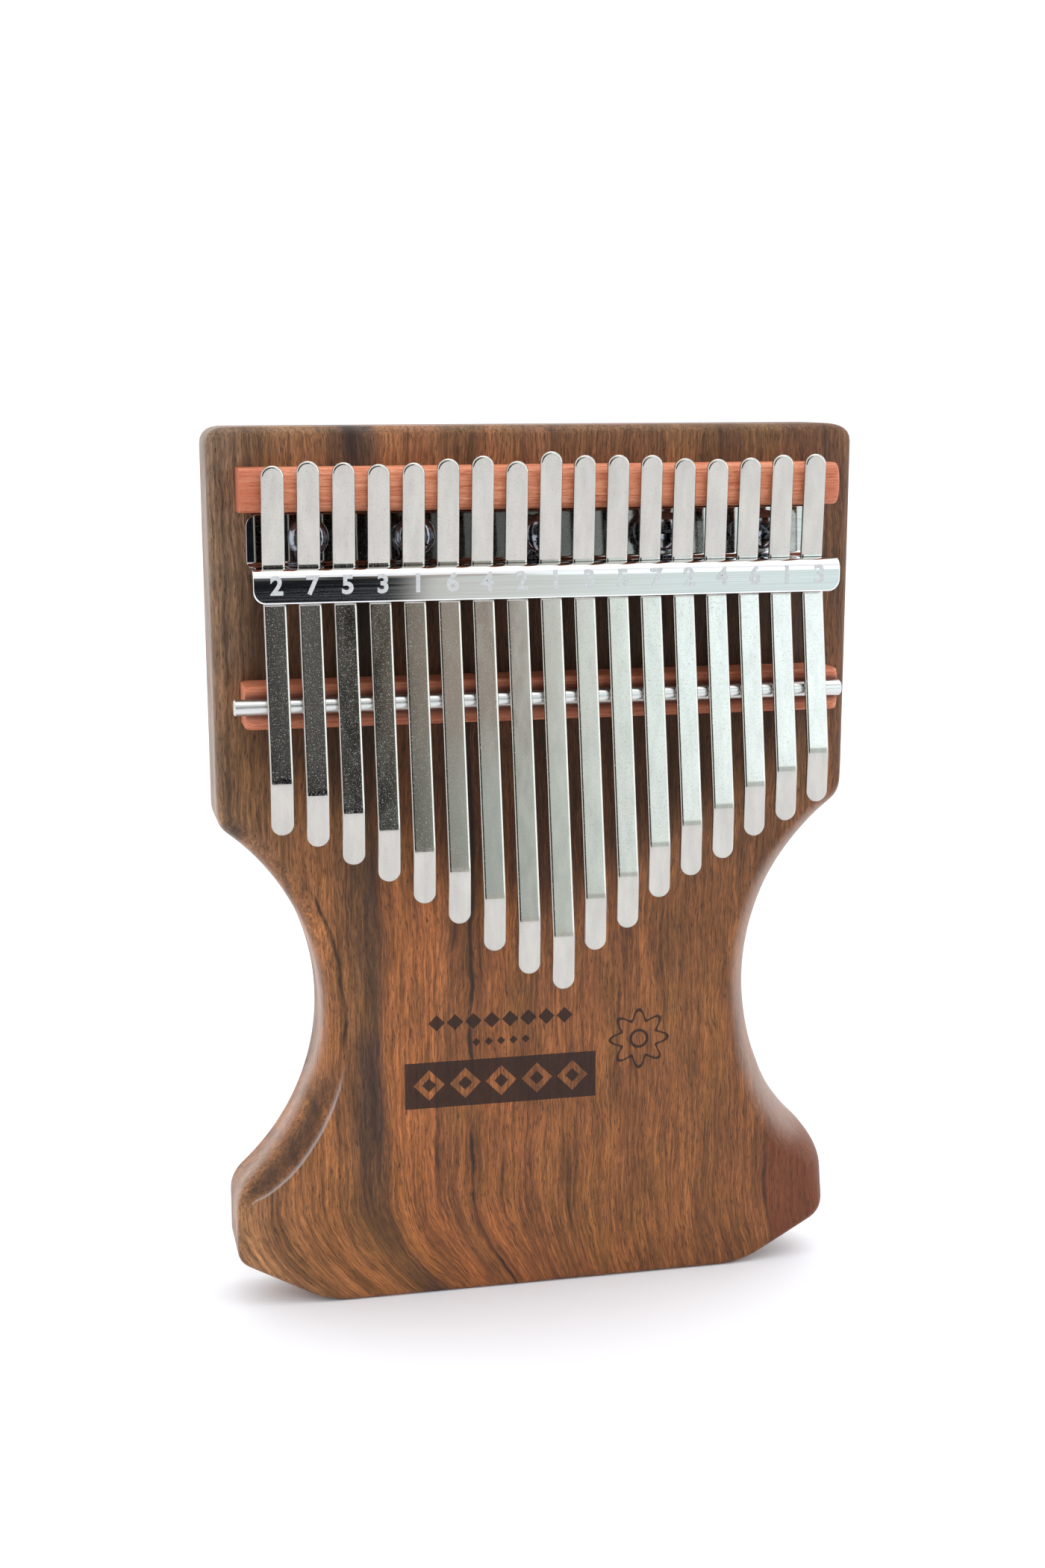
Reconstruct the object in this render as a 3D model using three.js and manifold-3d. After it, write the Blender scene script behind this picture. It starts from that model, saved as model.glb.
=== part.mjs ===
// A seventeen-note kalimba (thumb piano): a solid board with waisted sides, a wooden nut, a wooden
// bridge that carries a steel rod, a pressed steel bracket with one window per tine, five screws
// and seventeen spring-steel tines.
//
// Millimetres. +Z runs up the board towards the tails of the tines, -Y is the playing face and
// +X is the player's right. The origin is the centre of the flat foot that the board stands on.
import * as THREE from "three";
import { mergeVertices } from "three/addons/utils/BufferGeometryUtils.js";
import Module from "manifold-3d";

const wasm = await Module();
wasm.setup();

// ---------------------------------------------------------------- driving dimensions

const board = {
  height: 181.6,
  halfWidth: 66.3, // at the top corners
  shoulderHalfWidth: 66, // the long sides lean in a little down to the shoulders
  hipHalfWidth: 64.2, // the lower block, below the waist
  thickness: 17,
  edgeRadius: 2.5,
  waistRadius: 48.2, // the cut-out for the hand on each side is one circular arc
  waistCentreX: 93.7,
  waistCentreZ: { left: 62.9, right: 64.4 }, // sawn by hand, so the left one is lower
  hipCornerZ: 10.4, // where the lower side turns into the slanting foot chamfer
  footHalfWidth: 45.2,
  footSawn: 3, // sawn off the rounded lower end, which leaves a flat foot with crisp edges
};

const nut = { length: 121.4, bottomZ: 165.4, topZ: 173.9, shoulder: 6.4, crown: 8.7 };

const bridge = { length: 121.4, bottomZ: 123.6, topZ: 132.2, shoulder: 8.6, crown: 9.9 };

const rod = { length: 123.8, offsetX: -1.2, radius: 1.6, z: 128.3, height: 10.4 };

const bracket = {
  length: 118,
  thickness: 1.4,
  wallZ: 155, // upper face of the upright wall
  plateTopZ: 164.9, // upper end of the base plate
  stripHeight: 13.6, // outer face of the strip, which is parallel to the board
  stripBend: 2.2, // outer radius where the wall turns into the strip
  lipZ: 148.4, // lower edge of the strip
  cornerRadius: 2,
  windowFloor: 6.4,
  windowSideGap: 0.35,
  windowTopGap: 0.45, // room for the bend of a tine while it is tuned
};

const screw = {
  z: 160.2,
  places: [-46.9, -25.7, 0, 25.7, 46.9],
  headRadius: 4,
  headHeight: 2.4,
  shankRadius: 1.5,
  shankLength: 11,
  slotLength: 4.4,
  slotWidth: 0.9,
  slotDepth: 1.1,
};

const tine = {
  pitch: 6.82,
  width: 4.5,
  thickness: 1.15,
  tipLength: 10.4, // the flattened thumb pad past the crease
  heightAtNut: 10.15, // heights of the upper face above the board
  heightAtBend: 9.07, // where the tine bends, inside its window in the wall
  riseToRod: 0.167, // slope of the straight run from the bend, over the rod, to the crease
  padSlope: -0.05, // slope of the thumb pad
  splitGap: 0.3, // between the clamped tail and the free tongue, on top of the rod
};

// Reach of each tongue below the rod and of each tail above the middle of the nut, left to right.
const tongueReach = [
  24.6, 27.1, 30.9, 34.5, 39.1, 43.4, 49.1, 54, 57.4, 50.1, 46.1, 40.4, 36.4, 33.3, 29.1, 26.3, 22.8,
];
const tailReach = [
  4.8, 5.6, 5.3, 4.9, 5.1, 5.8, 6.3, 5.2, 7, 6.2, 6.2, 6.1, 5.4, 5.2, 5.4, 5.9, 6,
];

const seatGap = 0.2; // glue line or running gap between pieces that touch
const pilotSpare = 1; // how much deeper a pilot bore is than its screw
const cutPast = 2; // how far a cutter reaches past what it cuts
const curveSteps = 9;

// ---------------------------------------------------------------- materials

const finish = (color, roughness, metalness) =>
  new THREE.MeshStandardMaterial({ color, roughness, metalness });

const walnut = finish(0x6e4630, 0.5, 0);
const redHardwood = finish(0xb5654a, 0.55, 0);
const springSteel = finish(0xc9cac7, 0.28, 1);
const polishedSteel = finish(0xd6d8da, 0.08, 1);
const brightRod = finish(0xd0d1d0, 0.3, 1);
const screwSteel = finish(0xbfc1c4, 0.2, 1);

// ---------------------------------------------------------------- helpers

// The Y of a point at a height above the playing face.
const faceY = (height) => -(board.thickness / 2 + height);

const middleZ = (piece) => (piece.bottomZ + piece.topZ) / 2;

const bendZ = bracket.wallZ - bracket.thickness / 2;

const tineCentres = tongueReach.map((_, index) => (index - (tongueReach.length - 1) / 2) * tine.pitch);

function solidFrom(geometry) {
  const bare = new THREE.BufferGeometry();
  const flat = geometry.index ? geometry.toNonIndexed() : geometry;
  bare.setAttribute("position", flat.getAttribute("position"));
  const merged = mergeVertices(bare, 1e-4);
  return new wasm.Manifold(
    new wasm.Mesh({
      numProp: 3,
      vertProperties: merged.getAttribute("position").array,
      triVerts: new Uint32Array(merged.index.array),
    }),
  );
}

function geometryFrom(solid) {
  const mesh = solid.getMesh();
  const indexed = new THREE.BufferGeometry();
  indexed.setAttribute("position", new THREE.BufferAttribute(mesh.vertProperties, mesh.numProp));
  indexed.setIndex(new THREE.BufferAttribute(mesh.triVerts, 1));
  const faceted = indexed.toNonIndexed();
  faceted.computeVertexNormals();
  return faceted;
}

function cut(geometry, cutters) {
  const solid = cutters.reduce((rest, cutter) => rest.subtract(solidFrom(cutter)), solidFrom(geometry));
  return geometryFrom(solid);
}

// A profile drawn in the YZ plane, extruded along X and centred on X = 0.
function alongX(profile, length) {
  const geometry = new THREE.ExtrudeGeometry(profile, {
    depth: length,
    bevelEnabled: false,
    curveSegments: curveSteps,
  });
  const axes = new THREE.Matrix4().makeBasis(
    new THREE.Vector3(0, 1, 0),
    new THREE.Vector3(0, 0, 1),
    new THREE.Vector3(1, 0, 0),
  );
  return geometry.applyMatrix4(axes).translate(-length / 2, 0, 0);
}

// An outline drawn in the XZ plane, extruded from backY towards the player.
function alongY(outline, backY, depth, bevel = { bevelEnabled: false }) {
  const geometry = new THREE.ExtrudeGeometry(outline, {
    depth,
    curveSegments: curveSteps,
    ...bevel,
  });
  return geometry.rotateX(Math.PI / 2).translate(0, backY, 0);
}

const polygon = (points) => new THREE.Shape(points.map(([u, v]) => new THREE.Vector2(u, v)));

function box(x, y, z, centreX, centreY, centreZ) {
  return new THREE.BoxGeometry(x, y, z).translate(centreX, centreY, centreZ);
}

function addMesh(parent, name, geometry, material) {
  const mesh = new THREE.Mesh(geometry, material);
  mesh.name = name;
  parent.add(mesh);
  return mesh;
}

// ---------------------------------------------------------------- board

// One half of the outline, on the +X side, from the top centre to the foot. Each corner is a curve
// whose control point is the sharp corner.
function halfOutline(waistCentreZ) {
  const b = board;
  const onWaist = (angle) => [
    b.waistCentreX + b.waistRadius * Math.cos(angle),
    waistCentreZ + b.waistRadius * Math.sin(angle),
  ];
  const shoulderAngle = Math.PI - Math.acos((b.waistCentreX - b.shoulderHalfWidth) / b.waistRadius);
  const hipAngle = Math.PI + Math.acos((b.waistCentreX - b.hipHalfWidth) / b.waistRadius);
  const chamferRun = (b.hipHalfWidth - b.footHalfWidth) / b.hipCornerZ;
  const footCorner = [b.footHalfWidth - chamferRun * b.footSawn, -b.footSawn];
  const corners = {
    top: { at: [b.halfWidth, b.height], before: 5, after: 3.6 },
    shoulder: { at: onWaist(shoulderAngle), before: 3, after: 3 },
    hip: { at: onWaist(hipAngle), before: 7, after: 6 },
    chamfer: { at: [b.hipHalfWidth, b.hipCornerZ], before: 3.5, after: 3.5 },
    foot: { at: footCorner, before: 6, after: 6 },
  };
  const toward = ([x0, z0], [x1, z1], distance) => {
    const share = distance / Math.hypot(x1 - x0, z1 - z0);
    return [x0 + (x1 - x0) * share, z0 + (z1 - z0) * share];
  };
  const { top, shoulder, hip, chamfer, foot } = corners;
  const arcStart = shoulderAngle + shoulder.after / b.waistRadius;
  const arcEnd = hipAngle - hip.before / b.waistRadius;
  const arc = [];
  for (let step = 0; step <= 2 * curveSteps; step++)
    arc.push(onWaist(arcStart + ((arcEnd - arcStart) * step) / (2 * curveSteps)));

  const steps = [
    { to: [top.at[0] - top.before, top.at[1]] },
    { around: top.at, to: toward(top.at, shoulder.at, top.after) },
    { to: toward(shoulder.at, top.at, shoulder.before) },
    { around: shoulder.at, to: arc[0] },
    ...arc.slice(1).map((point) => ({ to: point })),
    { around: hip.at, to: [hip.at[0], hip.at[1] - hip.after] },
    { to: [chamfer.at[0], chamfer.at[1] + chamfer.before] },
    { around: chamfer.at, to: toward(chamfer.at, foot.at, chamfer.after) },
    { to: toward(foot.at, chamfer.at, foot.before) },
    { around: foot.at, to: [foot.at[0] - foot.after, foot.at[1]] },
  ];
  const points = [[0, b.height]];
  for (const { around, to } of steps) {
    const from = points.at(-1);
    if (!around) {
      points.push(to);
      continue;
    }
    const curve = new THREE.QuadraticBezierCurve(
      new THREE.Vector2(...from),
      new THREE.Vector2(...around),
      new THREE.Vector2(...to),
    );
    const bend = curve.getPoints(curveSteps).slice(1);
    points.push(...bend.map((point) => point.toArray()));
  }
  return points;
}

function boardOutline() {
  const { left, right } = board.waistCentreZ;
  const mirrored = halfOutline(left).slice(1).reverse();
  return polygon([...halfOutline(right), ...mirrored.map(([x, z]) => [-x, z])]);
}

function boardGeometry() {
  const { thickness, edgeRadius } = board;
  const blank = alongY(boardOutline(), thickness / 2 - edgeRadius, thickness - 2 * edgeRadius, {
    bevelEnabled: true,
    bevelThickness: edgeRadius,
    bevelSize: edgeRadius,
    bevelOffset: -edgeRadius,
    bevelSegments: 3,
  });
  const radius = screw.shankRadius + seatGap;
  const depth = screw.shankLength - bracket.thickness + pilotSpare;
  const pilots = screw.places.map((x) =>
    new THREE.CylinderGeometry(radius, radius, 2 * depth, 12).translate(x, faceY(0), screw.z),
  );
  const offcutHeight = board.footSawn + cutPast;
  const offcut = box(2 * board.halfWidth, 2 * thickness, offcutHeight, 0, 0, -offcutHeight / 2);
  return cut(blank, [...pilots, offcut]);
}

// ---------------------------------------------------------------- nut, bridge and rod

// A bar with upright sides and a rounded top, seated on the playing face.
function crownedProfile({ bottomZ, topZ, shoulder, crown }) {
  const profile = new THREE.Shape();
  profile.moveTo(faceY(seatGap), bottomZ);
  profile.lineTo(faceY(shoulder), bottomZ);
  const control = faceY(2 * crown - shoulder);
  profile.quadraticCurveTo(control, (bottomZ + topZ) / 2, faceY(shoulder), topZ);
  profile.lineTo(faceY(seatGap), topZ);
  profile.closePath();
  return profile;
}

function bridgeGeometry() {
  const radius = rod.radius + seatGap;
  const groove = new THREE.CylinderGeometry(radius, radius, bridge.length + cutPast, 20)
    .rotateZ(Math.PI / 2)
    .translate(0, faceY(rod.height), rod.z);
  return cut(alongX(crownedProfile(bridge), bridge.length), [groove]);
}

const rodGeometry = () =>
  new THREE.CylinderGeometry(rod.radius, rod.radius, rod.length, 20).rotateZ(Math.PI / 2);

// ---------------------------------------------------------------- bracket

// Base plate, upright wall, a bend towards the player's thumbs, and a strip parallel to the board.
function bracketProfile() {
  const { thickness, wallZ, plateTopZ, stripHeight, stripBend, lipZ } = bracket;
  const bend = (radius) =>
    Array.from({ length: curveSteps + 1 }, (_, step) => {
      const turn = (step / curveSteps) * (Math.PI / 2);
      const height = stripHeight - stripBend + radius * Math.sin(turn);
      return [faceY(height), wallZ - stripBend + radius * Math.cos(turn)];
    });
  return polygon([
    [faceY(seatGap), wallZ - thickness],
    [faceY(seatGap), plateTopZ],
    [faceY(seatGap + thickness), plateTopZ],
    [faceY(seatGap + thickness), wallZ],
    ...bend(stripBend),
    [faceY(stripHeight), lipZ],
    [faceY(stripHeight - thickness), lipZ],
    ...bend(stripBend - thickness).reverse(),
  ]);
}

// Seen from the front, the bracket keeps its length but has rounded corners.
function bracketOutline() {
  const half = bracket.length / 2;
  const r = bracket.cornerRadius;
  const outline = new THREE.Shape();
  outline.moveTo(-half + r, bracket.lipZ);
  outline.absarc(half - r, bracket.lipZ + r, r, -Math.PI / 2, 0);
  outline.absarc(half - r, bracket.plateTopZ - r, r, 0, Math.PI / 2);
  outline.absarc(-half + r, bracket.plateTopZ - r, r, Math.PI / 2, Math.PI);
  outline.absarc(-half + r, bracket.lipZ + r, r, Math.PI, 1.5 * Math.PI);
  return outline;
}

function bracketGeometry() {
  const blank = solidFrom(alongX(bracketProfile(), bracket.length));
  const outline = solidFrom(alongY(bracketOutline(), faceY(0), bracket.stripHeight + cutPast));
  const windowTop = tine.heightAtBend + bracket.windowTopGap;
  const windowHeight = windowTop - bracket.windowFloor;
  const windows = tineCentres.map((x) =>
    box(
      tine.width + 2 * bracket.windowSideGap,
      windowHeight,
      bracket.thickness + cutPast,
      x,
      faceY(bracket.windowFloor + windowHeight / 2),
      bendZ,
    ),
  );
  const holeRadius = screw.shankRadius + 2 * seatGap;
  const holes = screw.places.map((x) =>
    new THREE.CylinderGeometry(holeRadius, holeRadius, bracket.thickness + cutPast, 16)
      .translate(x, faceY(seatGap + bracket.thickness / 2), screw.z),
  );
  return cut(geometryFrom(blank.intersect(outline)), [...windows, ...holes]);
}

// ---------------------------------------------------------------- screws

// A pan-head wood screw with a cross slot, standing on the underside of its head.
function screwGeometry() {
  const { headRadius, headHeight, shankRadius, shankLength, slotLength, slotWidth, slotDepth } = screw;
  const profile = [
    [0, -shankLength],
    [shankRadius, 2 * shankRadius - shankLength],
    [shankRadius, 0],
    [headRadius, 0],
    [headRadius, headHeight * 0.35],
    [headRadius * 0.9, headHeight * 0.72],
    [headRadius * 0.66, headHeight * 0.94],
    [headRadius * 0.35, headHeight],
    [0, headHeight],
  ];
  const blank = new THREE.LatheGeometry(
    profile.map(([r, y]) => new THREE.Vector2(r, y)),
    20,
  );
  const slotTall = slotDepth + cutPast;
  const slotY = headHeight - slotDepth + slotTall / 2;
  const slots = [
    box(slotLength, slotTall, slotWidth, 0, slotY, 0),
    box(slotWidth, slotTall, slotLength, 0, slotY, 0),
  ];
  return cut(blank, slots);
}

// ---------------------------------------------------------------- tines

// Height of a tine's upper face: down from the nut to the bend, then up over the rod.
function tineHeight(z) {
  const fallFromNut = (tine.heightAtNut - tine.heightAtBend) / (middleZ(nut) - bendZ);
  return z > bendZ
    ? tine.heightAtBend + fallFromNut * (z - bendZ)
    : tine.heightAtBend + tine.riseToRod * (bendZ - z);
}

// A strip whose upper face passes through the given points, with one end rounded in plan.
function stripGeometry(upperFace, roundedEndZ) {
  const lowerFace = upperFace.map(([height, z]) => [height - tine.thickness, z]).reverse();
  const profile = polygon([...upperFace, ...lowerFace].map(([height, z]) => [faceY(height), z]));
  const strip = solidFrom(alongX(profile, tine.width));
  const r = tine.width / 2;
  const away = Math.sign(roundedEndZ - rod.z);
  const startZ = rod.z - away * cutPast;
  const plan = new THREE.Shape();
  plan.moveTo(r, startZ);
  plan.lineTo(r, roundedEndZ - away * r);
  plan.absarc(0, roundedEndZ - away * r, r, 0, away * Math.PI, away < 0);
  plan.lineTo(-r, startZ);
  plan.closePath();
  const tallest = Math.max(...upperFace.map(([height]) => height));
  return geometryFrom(strip.intersect(solidFrom(alongY(plan, faceY(0), tallest + cutPast))));
}

function tailGeometry(reach) {
  const tailZ = middleZ(nut) + reach;
  const stations = [rod.z + tine.splitGap / 2, bendZ, tailZ];
  return stripGeometry(
    stations.map((z) => [tineHeight(z), z]),
    tailZ,
  );
}

function tongueGeometry(reach) {
  const tipZ = rod.z - reach;
  const creaseZ = tipZ + tine.tipLength;
  const tipHeight = tineHeight(creaseZ) + tine.padSlope * tine.tipLength;
  const startZ = rod.z - tine.splitGap / 2;
  return stripGeometry(
    [
      [tineHeight(startZ), startZ],
      [tineHeight(creaseZ), creaseZ],
      [tipHeight, tipZ],
    ],
    tipZ,
  );
}

// ---------------------------------------------------------------- assembly

const kalimba = new THREE.Group();
kalimba.name = "kalimba";

addMesh(kalimba, "board", boardGeometry(), walnut);
addMesh(kalimba, "nut", alongX(crownedProfile(nut), nut.length), redHardwood);
addMesh(kalimba, "bridge", bridgeGeometry(), redHardwood);
addMesh(kalimba, "bridge_rod", rodGeometry(), brightRod).position.set(
  rod.offsetX,
  faceY(rod.height),
  rod.z,
);
addMesh(kalimba, "bracket", bracketGeometry(), polishedSteel);

screw.places.forEach((x, index) => {
  const mesh = addMesh(kalimba, `bracket_screw_${index + 1}`, screwGeometry(), screwSteel);
  mesh.rotation.x = Math.PI;
  mesh.position.set(x, faceY(2 * seatGap + bracket.thickness), screw.z);
});

tineCentres.forEach((x, index) => {
  const group = new THREE.Group();
  group.name = `tine_${String(index + 1).padStart(2, "0")}`;
  group.position.x = x;
  addMesh(group, `${group.name}_tail`, tailGeometry(tailReach[index]), springSteel);
  addMesh(group, `${group.name}_tongue`, tongueGeometry(tongueReach[index]), springSteel);
  kalimba.add(group);
});

export default kalimba;
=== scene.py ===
"""A seventeen-note kalimba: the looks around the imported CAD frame.

Lengths here are in millimetres in the part's own frame, and become metres where a mesh is made.
+Z runs up the board, -Y is the playing face and +X is the player's right.
"""

import math

import bmesh
import bpy
from mathutils import Matrix, Vector


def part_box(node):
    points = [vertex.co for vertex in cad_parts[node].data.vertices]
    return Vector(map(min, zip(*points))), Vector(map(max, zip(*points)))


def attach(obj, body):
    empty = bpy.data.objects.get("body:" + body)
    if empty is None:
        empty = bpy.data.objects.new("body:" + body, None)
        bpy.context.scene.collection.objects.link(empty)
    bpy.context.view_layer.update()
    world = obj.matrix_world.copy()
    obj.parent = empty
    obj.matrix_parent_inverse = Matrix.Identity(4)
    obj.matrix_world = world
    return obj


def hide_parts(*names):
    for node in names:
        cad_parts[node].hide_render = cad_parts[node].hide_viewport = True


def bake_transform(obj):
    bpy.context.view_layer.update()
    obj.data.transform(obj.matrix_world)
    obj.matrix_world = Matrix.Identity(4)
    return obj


MM = 0.001

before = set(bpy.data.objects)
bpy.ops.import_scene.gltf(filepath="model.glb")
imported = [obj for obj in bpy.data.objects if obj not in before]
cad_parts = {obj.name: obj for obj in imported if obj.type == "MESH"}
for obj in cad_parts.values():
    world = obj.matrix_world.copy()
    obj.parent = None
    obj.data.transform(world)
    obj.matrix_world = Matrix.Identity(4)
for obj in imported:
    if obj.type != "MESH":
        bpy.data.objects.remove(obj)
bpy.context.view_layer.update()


def cad_range(node):
    """Lowest and highest corner of a CAD node, in millimetres."""
    low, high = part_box(node)
    return low / MM, high / MM


BOARD_LOW, BOARD_HIGH = cad_range("board")
FACE_Y = BOARD_LOW.y
TINES = [f"tine_{number:02d}" for number in range(1, 18)]


def above_face(height):
    """The Y of a point at a height above the playing face."""
    return FACE_Y - height


# ---- meshes


def placed(name, data):
    """A new object in the scene."""
    obj = bpy.data.objects.new(name, data)
    bpy.context.scene.collection.objects.link(obj)
    return obj


def mesh_object(name, points, faces, sharp_above=35.0):
    """An object from points in millimetres, with smooth faces and sharp edges above an angle."""
    mesh = bpy.data.meshes.new(name)
    mesh.from_pydata([tuple(Vector(p) * MM) for p in points], [], faces)
    shape = bmesh.new()
    shape.from_mesh(mesh)
    bmesh.ops.remove_doubles(shape, verts=shape.verts, dist=1e-7)
    bmesh.ops.dissolve_degenerate(shape, edges=shape.edges, dist=1e-8)
    bmesh.ops.recalc_face_normals(shape, faces=shape.faces)
    shape.to_mesh(mesh)
    shape.free()
    obj = placed(name, mesh)
    shade(obj, sharp_above)
    return obj


def shade(obj, sharp_above=35.0):
    for face in obj.data.polygons:
        face.use_smooth = True
    obj.data.set_sharp_from_angle(angle=math.radians(sharp_above))


def apply_modifiers(obj):
    """Bakes an object's modifiers into its mesh."""
    graph = bpy.context.evaluated_depsgraph_get()
    finished = bpy.data.meshes.new_from_object(obj.evaluated_get(graph))
    obj.modifiers.clear()
    obj.data = finished
    return obj


def carve(obj, cutters, sharp_above=35.0):
    """Cuts other objects out of one, and removes them."""
    for cutter in cutters:
        boolean = obj.modifiers.new("cut", "BOOLEAN")
        boolean.operation = "DIFFERENCE"
        boolean.solver = "EXACT"
        boolean.object = cutter
    bpy.context.view_layer.update()
    apply_modifiers(obj)
    for cutter in cutters:
        bpy.data.objects.remove(cutter)
    shade(obj, sharp_above)
    return obj


def bridge_loops(loops):
    """Quads between loops of the same length, given as lists of point numbers."""
    faces = []
    for one, two in zip(loops, loops[1:]):
        for here, there in zip(range(-1, len(one) - 1), range(len(one))):
            faces.append((one[here], one[there], two[there], two[here]))
    return faces


def revolved(name, profile, axis, centre, segments=48):
    """A solid of revolution. The profile is (radius, distance along the axis), from axis to axis."""
    axis = Vector(axis).normalized()
    side = axis.orthogonal().normalized()
    other = axis.cross(side)
    points, loops = [], []
    for radius, along in profile:
        loop = []
        for step in range(segments):
            turn = 2 * math.pi * step / segments
            out = side * math.cos(turn) + other * math.sin(turn)
            loop.append(len(points))
            points.append(Vector(centre) + axis * along + out * radius)
        loops.append(loop)
    return mesh_object(name, points, bridge_loops(loops))


def cuboid(name, low, high):
    points = [(x, y, z) for x in (low[0], high[0]) for y in (low[1], high[1]) for z in (low[2], high[2])]
    faces = [(0, 1, 3, 2), (4, 6, 7, 5), (0, 4, 5, 1), (2, 3, 7, 6), (0, 2, 6, 4), (1, 5, 7, 3)]
    return mesh_object(name, points, faces)


def quarter(radius, steps):
    """(inset from the side, depth below the face) round a quarter circle, face to side."""
    turns = [0.5 * math.pi * step / steps for step in range(steps + 1)]
    return [(radius * (1 - math.sin(t)), radius * (1 - math.cos(t))) for t in turns]


def eased(keys, at):
    """A value between keys [(position, value), ...], whose positions fall, with smooth steps."""
    for (start, one), (end, two) in zip(keys, keys[1:]):
        if at >= end:
            share = min(1.0, max(0.0, (start - at) / (start - end)))
            share = share * share * (3 - 2 * share)
            return one + (two - one) * share
    return keys[-1][1]


# ---- sheet-metal pieces


class SheetPath:
    """A line in the YZ plane that a flat strip is bent along, with rounded bends.

    Its corners are (height above the board, z), each bend has a radius, and `at` gives the point
    and the outward direction at a distance along it.
    """

    def __init__(self, corners, radii, step):
        self.points = [Vector(corners[0])]
        for before, corner, after, radius in zip(corners, corners[1:], corners[2:], radii):
            self._round(Vector(before), Vector(corner), Vector(after), radius)
        self._straight(Vector(corners[-1]), step)
        self._measure()

    def _straight(self, end, step):
        start = self.points[-1]
        count = max(1, round((end - start).length / step))
        self.points += [start.lerp(end, k / count) for k in range(1, count + 1)]

    def _round(self, before, corner, after, radius, step=2.0, arc_steps=8):
        arrive = (corner - before).normalized()
        leave = (after - corner).normalized()
        turn = arrive.angle(leave)
        reach = radius * math.tan(turn / 2)
        start = corner - arrive * reach
        self._straight(start, step)
        side = Vector((-arrive.y, arrive.x))
        if side.dot(leave) < 0:
            side.negate()
        centre = start + side * radius
        for k in range(1, arc_steps + 1):
            swing = turn * k / arc_steps
            self.points.append(centre - side * radius * math.cos(swing) + arrive * radius * math.sin(swing))

    def _measure(self):
        self.stations = [0.0]
        for one, two in zip(self.points, self.points[1:]):
            self.stations.append(self.stations[-1] + (two - one).length)
        slopes = [(two - one).normalized() for one, two in zip(self.points, self.points[1:])]
        self.along = [slopes[0]]
        self.along += [(one + two).normalized() for one, two in zip(slopes, slopes[1:])]
        self.along.append(slopes[-1])

    @property
    def length(self):
        return self.stations[-1]

    def at(self, station):
        """(point, outward direction), both as (height, z)."""
        station = min(max(station, 0.0), self.length)
        beyond = (k for k in range(1, len(self.stations)) if station <= self.stations[k])
        k = next(beyond, len(self.stations) - 1)
        share = (station - self.stations[k - 1]) / (self.stations[k] - self.stations[k - 1])
        point = self.points[k - 1].lerp(self.points[k], share)
        along = self.along[k - 1].lerp(self.along[k], share).normalized()
        return point, Vector((-along.y, along.x))


def sheet_point(path, station, x, depth):
    """A point of a bent sheet, at a depth under its outward face."""
    point, out = path.at(station)
    height, z = point - out * depth
    return (x, above_face(height), z)


def bent_sheet(name, path, centre_x, half_width, corner, thickness, edge):
    """A flat strip with rounded corners and rounded edges, bent along a path."""
    corner_steps, edge_steps, support = 10, 4, 0.12
    inner = half_width - corner
    sides = [s for s in path.stations if corner < s < path.length - corner]
    sides = [corner, *sides, path.length - corner]
    turns = [0.5 * math.pi * k / corner_steps for k in range(1, corner_steps + 1)]
    far = [(path.length - corner, math.sin(t), math.cos(t)) for t in turns]
    near = [(corner, -math.sin(t), math.cos(t)) for t in turns]
    half = [*reversed(near), *((s, 0.0, 1.0) for s in sides), *far]
    levels = [(edge + support, 0.0), *quarter(edge, edge_steps)]
    bottom = [(inset, thickness - depth) for inset, depth in reversed(levels)]
    points, loops = [], []
    for inset, depth in [*levels, *bottom]:
        loop = []
        for side, samples in ((1, half), (-1, list(reversed(half)))):
            for anchor, along, across in samples:
                reach = corner - inset
                x = centre_x + side * (inner + across * reach)
                loop.append(len(points))
                points.append(sheet_point(path, anchor + along * reach, x, depth))
        loops.append(loop)
    faces = bridge_loops(loops)
    count = len(half)
    for loop in (loops[0], loops[-1]):
        for k in range(count - 1):
            faces.append((loop[k], loop[k + 1], loop[2 * count - 2 - k], loop[2 * count - 1 - k]))
    return mesh_object(name, points, faces)


# ---- board

OUTLINE = {
    "half_width": 66.3,
    "shoulder_half_width": 66.0,
    "hip_half_width": 64.2,
    "waist_radius": 48.2,
    "waist_centre_x": 93.7,
    "hip_corner_z": 10.4,
    "foot_half_width": 45.2,
}

# How far each corner's curve reaches, before and after the corner, on each side.
LEFT_CORNERS = {"top": (4.4, 3.6), "hip": (4.0, 3.5), "chamfer": (2.5, 2.5)}
RIGHT_CORNERS = {"top": (6.4, 3.6), "hip": (7.5, 6.5), "chamfer": (3.5, 3.5)}

WAIST_Z = {"left": 62.9, "right": 64.4}

# Width of the front rounding at heights down each side: soft round the waists, where the hands hold it.
LEFT_EDGE = [
    *((182, 2.0), (112, 2.2), (98, 4.8), (62, 5.2), (44, 5.6)),
    *((33, 5.3), (27, 4.0), (22.5, 1.6), (18, 1.2), (0, 1.2)),
]
RIGHT_EDGE = [
    *((182, 2.0), (110, 2.2), (98, 3.4), (85, 4.6), (58, 4.8)),
    *((42, 6.6), (31, 7.4), (20, 4.5), (8, 1.6), (0, 1.3)),
]

# How crisply that rounding starts, from 0 for a soft start to 1 for a ridge.
LEFT_RIDGE = [(56, 0.0), (46, 1.0), (26, 1.0), (21, 0.0)]
RIGHT_RIDGE = [(46, 0.0), (38, 0.7), (30, 0.7), (22, 0.0)]
RIDGE_ANGLE = math.radians(32)

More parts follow.
